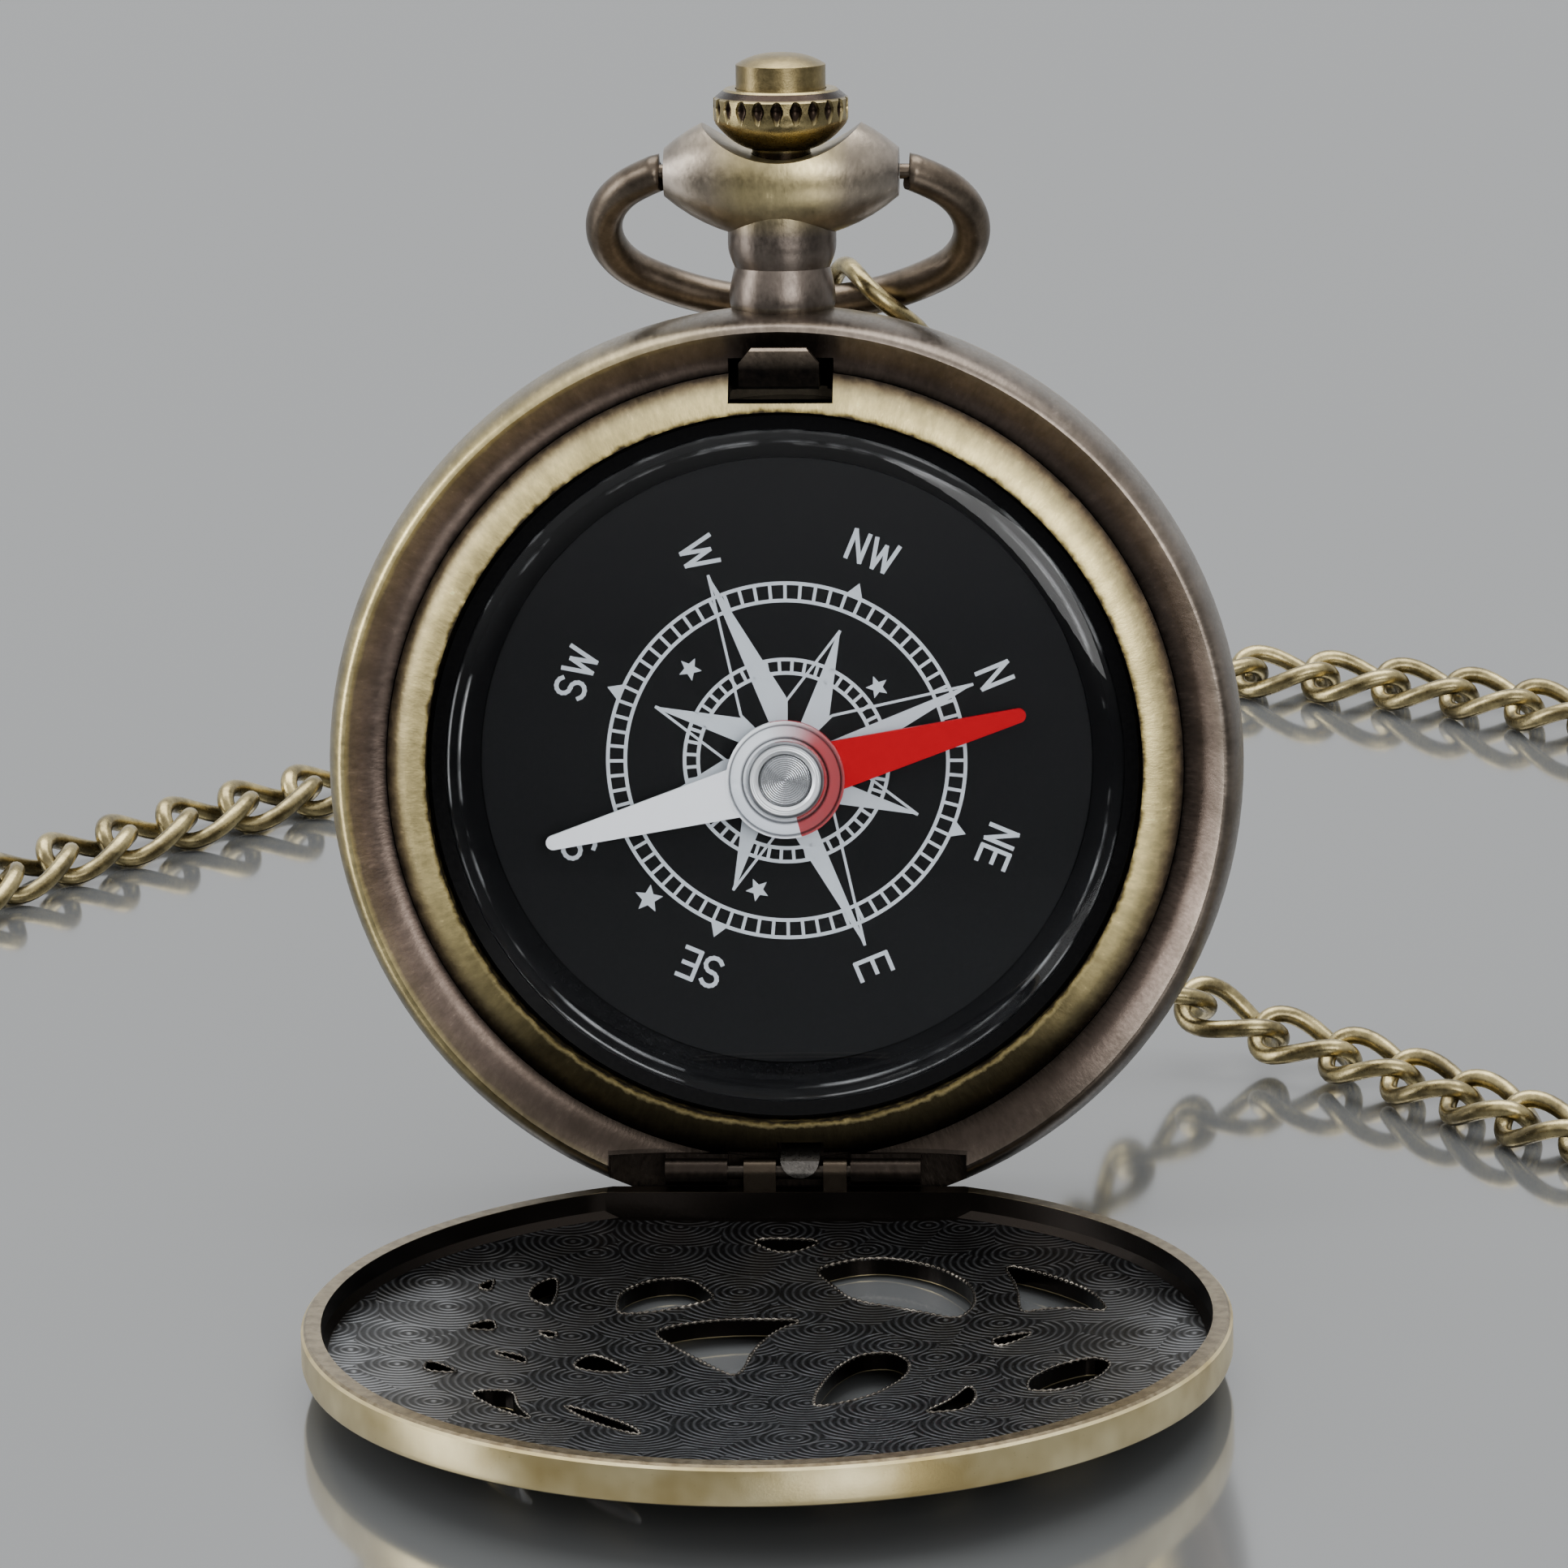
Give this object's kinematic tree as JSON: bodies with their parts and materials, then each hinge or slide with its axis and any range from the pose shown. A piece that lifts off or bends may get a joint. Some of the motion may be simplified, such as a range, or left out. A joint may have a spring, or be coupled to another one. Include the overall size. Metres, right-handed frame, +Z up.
{
  "type": "compass pendant",
  "caption": "Round pocket-watch style compass in an antique brass case, standing open on its pierced hinged lid, with a folded bow and a curb chain.",
  "frame": {"origin": "on the surface, straight below the middle of the hinge pin", "axes": "+X to the right along the hinge pin, +Y to the back, +Z up; the dial faces -Y and leans back"},
  "size_m": [0.1292, 0.1307, 0.0591],
  "materials": {
    "antique_brass": "antiqued and brushed",
    "bright_brass": "rubbed bright",
    "dark_bronze": "dark antiqued",
    "chain_brass": "light antiqued",
    "black_cup": "gloss black",
    "printed_dial": "satin black with a light grey print",
    "needle_paint": "red and white gloss enamel",
    "steel": "bright",
    "polished_chrome": "polished",
    "clear_acrylic": "clear",
    "crystal": "clear and polished"
  },
  "bodies": {
    "case": {"case_body": "antique_brass", "bezel": "bright_brass", "capsule": "black_cup", "dial": "printed_dial", "pivot": "steel", "crystal": "crystal", "bow": "dark_bronze", "hinge_pin": "steel", "lift_spring": "steel", "chain": "chain_brass", "clasp": "chain_brass"},
    "lid": {"lid": "antique_brass"},
    "button": {"crown_button": "bright_brass", "catch": "dark_bronze"},
    "crown": {"crown": "antique_brass"},
    "needle": {"needle": "needle_paint", "needle_hub": "polished_chrome", "needle_collar": "clear_acrylic"}
  },
  "joints": [
    {"name": "lid_hinge", "type": "hinge", "parent": "case", "child": "lid", "pos_m": [0, 0, 0.0032], "axis": [-1, 0, 0], "range_deg": [0, 97.4], "stiffness_Nm_per_rad": 0.0002, "springref_deg": -11.46},
    {"name": "button_press", "type": "slide", "parent": "case", "child": "button", "axis": [0, -0.1919, -0.9814], "range_m": [0, 0.0007], "stiffness_N_per_m": 400, "springref_m": -0.001},
    {"name": "crown_turn", "type": "hinge", "parent": "case", "child": "crown", "pos_m": [0, 0.01283, 0.05301], "axis": [0, 0.1919, 0.9814], "continuous": true},
    {"name": "needle_spin", "type": "hinge", "parent": "case", "child": "needle", "pos_m": [0, 0.00548, 0.02271], "axis": [0, -0.9814, 0.1919], "continuous": true}
  ]
}
